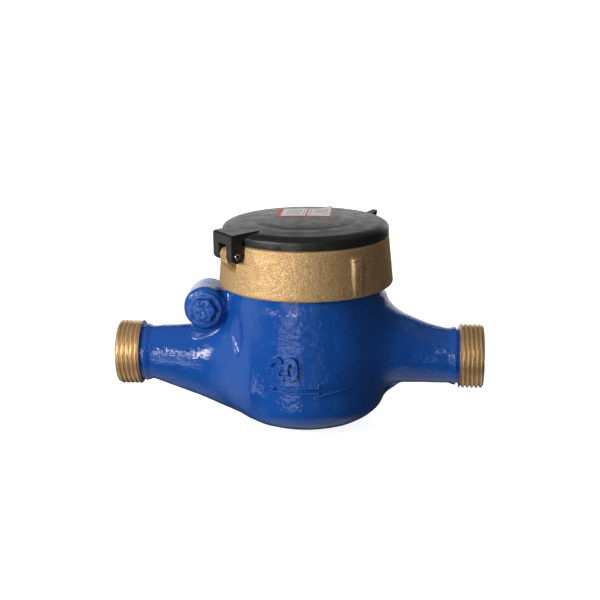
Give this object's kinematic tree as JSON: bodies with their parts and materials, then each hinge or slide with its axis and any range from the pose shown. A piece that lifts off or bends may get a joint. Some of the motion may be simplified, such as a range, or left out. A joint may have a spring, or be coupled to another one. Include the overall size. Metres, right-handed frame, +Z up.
{
  "type": "water meter",
  "caption": "Multi-jet water meter with a painted bowl casting, threaded inlet and outlet, brass head ring, hinged lid, vane impeller and geared pointer register.",
  "frame": {"origin": "middle of the flat foot under the bowl, on the bowl axis", "axes": "+X along the pipe in the flow direction from inlet to outlet, +Z up along the bowl axis"},
  "size_m": [0.19, 0.0892, 0.1073],
  "materials": {
    "casting_paint": "glossy blue paint over a cast surface",
    "ring_brass": "sand cast, coarse",
    "lid_plastic": "satin black moulding",
    "steel": "drawn",
    "turned_brass": "machined",
    "seal_rubber": "matt",
    "strainer_plastic": "moulded",
    "chamber_plastic": "moulded",
    "magnet": "sintered",
    "can_copper": "drawn sheet",
    "dial_white": "printed sheet",
    "window": "clear",
    "gear_plastic": "moulded",
    "pointer_red": "moulded",
    "pointer_black": "moulded"
  },
  "bodies": {
    "housing": {"body": "casting_paint", "head_ring": "ring_brass", "regulator_screw": "turned_brass", "regulator_cap": "casting_paint", "regulator_seal": "seal_rubber", "inlet_strainer": "strainer_plastic", "chamber_gasket": "seal_rubber", "chamber_strainer": "strainer_plastic", "measuring_chamber": "chamber_plastic", "chamber_cover": "chamber_plastic", "impeller_pivot": "steel", "pressure_seal": "seal_rubber", "pressure_plate": "turned_brass", "register_can": "can_copper", "train_plate": "turned_brass", "train_pillars": "steel", "dial_plate": "dial_white", "glass_gasket": "seal_rubber", "register_glass": "window"},
    "lid": {"lid": "lid_plastic", "hinge_pin": "steel"},
    "impeller": {"impeller": "chamber_plastic", "impeller_shaft": "steel", "drive_magnet": "magnet"},
    "magnet_arbor": {"magnet_arbor": "gear_plastic", "driven_magnet": "magnet"},
    "star_arbor": {"star_arbor": "gear_plastic", "flow_star": "pointer_red"},
    "idler_1": {"idler_1": "gear_plastic"},
    "arbor_1": {"arbor_1": "gear_plastic", "pointer_1": "pointer_red"},
    "idler_2": {"idler_2": "gear_plastic"},
    "arbor_2": {"arbor_2": "gear_plastic", "pointer_2": "pointer_red"},
    "idler_3": {"idler_3": "gear_plastic"},
    "arbor_3": {"arbor_3": "gear_plastic", "pointer_3": "pointer_red"},
    "idler_4": {"idler_4": "gear_plastic"},
    "arbor_4": {"arbor_4": "gear_plastic", "pointer_4": "pointer_red"},
    "idler_5": {"idler_5": "gear_plastic"},
    "arbor_5": {"arbor_5": "gear_plastic", "pointer_5": "pointer_black"},
    "idler_6": {"idler_6": "gear_plastic"},
    "arbor_6": {"arbor_6": "gear_plastic", "pointer_6": "pointer_black"},
    "idler_7": {"idler_7": "gear_plastic"},
    "arbor_7": {"arbor_7": "gear_plastic", "pointer_7": "pointer_black"},
    "idler_8": {"idler_8": "gear_plastic"},
    "arbor_8": {"arbor_8": "gear_plastic", "pointer_8": "pointer_black"}
  },
  "joints": [
    {"name": "lid_hinge", "type": "hinge", "parent": "housing", "child": "lid", "pos_m": [-0.03609, -0.0282, 0.0944], "axis": [0.6157, -0.788, 0], "range_deg": [0, 110]},
    {"name": "impeller_spin", "type": "hinge", "parent": "housing", "child": "impeller", "pos_m": [0, 0, 0.03], "axis": [0, 0, 1], "continuous": true},
    {"name": "magnet_spin", "type": "hinge", "parent": "housing", "child": "magnet_arbor", "pos_m": [0, 0, 0.085], "axis": [0, 0, 1], "continuous": true},
    {"name": "star_spin", "type": "hinge", "parent": "housing", "child": "star_arbor", "pos_m": [0.00119, -0.00867, 0.085], "axis": [0, 0, 1], "continuous": true},
    {"name": "idler_1_spin", "type": "hinge", "parent": "housing", "child": "idler_1", "pos_m": [0.0081, -0.01404, 0.085], "axis": [0, 0, 1], "continuous": true},
    {"name": "pointer_1_spin", "type": "hinge", "parent": "housing", "child": "arbor_1", "pos_m": [0.01685, -0.01414, 0.085], "axis": [0, 0, 1], "continuous": true},
    {"name": "idler_2_spin", "type": "hinge", "parent": "housing", "child": "idler_2", "pos_m": [0.01523, -0.00554, 0.085], "axis": [0, 0, 1], "continuous": true},
    {"name": "pointer_2_spin", "type": "hinge", "parent": "housing", "child": "arbor_2", "pos_m": [0.022, 0, 0.085], "axis": [0, 0, 1], "continuous": true},
    {"name": "idler_3_spin", "type": "hinge", "parent": "housing", "child": "idler_3", "pos_m": [0.01523, 0.00554, 0.085], "axis": [0, 0, 1], "continuous": true},
    {"name": "pointer_3_spin", "type": "hinge", "parent": "housing", "child": "arbor_3", "pos_m": [0.01685, 0.01414, 0.085], "axis": [0, 0, 1], "continuous": true},
    {"name": "idler_4_spin", "type": "hinge", "parent": "housing", "child": "idler_4", "pos_m": [0.0081, 0.01404, 0.085], "axis": [0, 0, 1], "continuous": true},
    {"name": "pointer_4_spin", "type": "hinge", "parent": "housing", "child": "arbor_4", "pos_m": [0.00382, 0.02167, 0.085], "axis": [0, 0, 1], "continuous": true},
    {"name": "idler_5_spin", "type": "hinge", "parent": "housing", "child": "idler_5", "pos_m": [-0.00281, 0.01596, 0.085], "axis": [0, 0, 1], "continuous": true},
    {"name": "pointer_5_spin", "type": "hinge", "parent": "housing", "child": "arbor_5", "pos_m": [-0.011, 0.01905, 0.085], "axis": [0, 0, 1], "continuous": true},
    {"name": "idler_6_spin", "type": "hinge", "parent": "housing", "child": "idler_6", "pos_m": [-0.01242, 0.01042, 0.085], "axis": [0, 0, 1], "continuous": true},
    {"name": "pointer_6_spin", "type": "hinge", "parent": "housing", "child": "arbor_6", "pos_m": [-0.02067, 0.00752, 0.085], "axis": [0, 0, 1], "continuous": true},
    {"name": "idler_7_spin", "type": "hinge", "parent": "housing", "child": "idler_7", "pos_m": [-0.01621, 0, 0.085], "axis": [0, 0, 1], "continuous": true},
    {"name": "pointer_7_spin", "type": "hinge", "parent": "housing", "child": "arbor_7", "pos_m": [-0.02067, -0.00752, 0.085], "axis": [0, 0, 1], "continuous": true},
    {"name": "idler_8_spin", "type": "hinge", "parent": "housing", "child": "idler_8", "pos_m": [-0.01242, -0.01042, 0.085], "axis": [0, 0, 1], "continuous": true},
    {"name": "pointer_8_spin", "type": "hinge", "parent": "housing", "child": "arbor_8", "pos_m": [-0.011, -0.01905, 0.085], "axis": [0, 0, 1], "continuous": true}
  ],
  "couplings": [
    {"joint": "magnet_spin", "follows": "impeller_spin", "ratio": 1},
    {"joint": "star_spin", "follows": "impeller_spin", "ratio": -0.4},
    {"joint": "idler_1_spin", "follows": "impeller_spin", "ratio": 0.1},
    {"joint": "pointer_1_spin", "follows": "impeller_spin", "ratio": -0.04},
    {"joint": "idler_2_spin", "follows": "impeller_spin", "ratio": 0.01},
    {"joint": "pointer_2_spin", "follows": "impeller_spin", "ratio": -0.004},
    {"joint": "idler_3_spin", "follows": "impeller_spin", "ratio": 0.001},
    {"joint": "pointer_3_spin", "follows": "impeller_spin", "ratio": -0.0004},
    {"joint": "idler_4_spin", "follows": "impeller_spin", "ratio": 0.0001},
    {"joint": "pointer_4_spin", "follows": "impeller_spin", "ratio": -0.00004},
    {"joint": "idler_5_spin", "follows": "impeller_spin", "ratio": 0.00001},
    {"joint": "pointer_5_spin", "follows": "impeller_spin", "ratio": -0.000004},
    {"joint": "idler_6_spin", "follows": "impeller_spin", "ratio": 0.000001},
    {"joint": "pointer_6_spin", "follows": "impeller_spin", "ratio": -0.0000004},
    {"joint": "idler_7_spin", "follows": "impeller_spin", "ratio": 0.0000001},
    {"joint": "pointer_7_spin", "follows": "impeller_spin", "ratio": -0.00000004},
    {"joint": "idler_8_spin", "follows": "impeller_spin", "ratio": 0.00000001},
    {"joint": "pointer_8_spin", "follows": "impeller_spin", "ratio": -0.000000004}
  ]
}
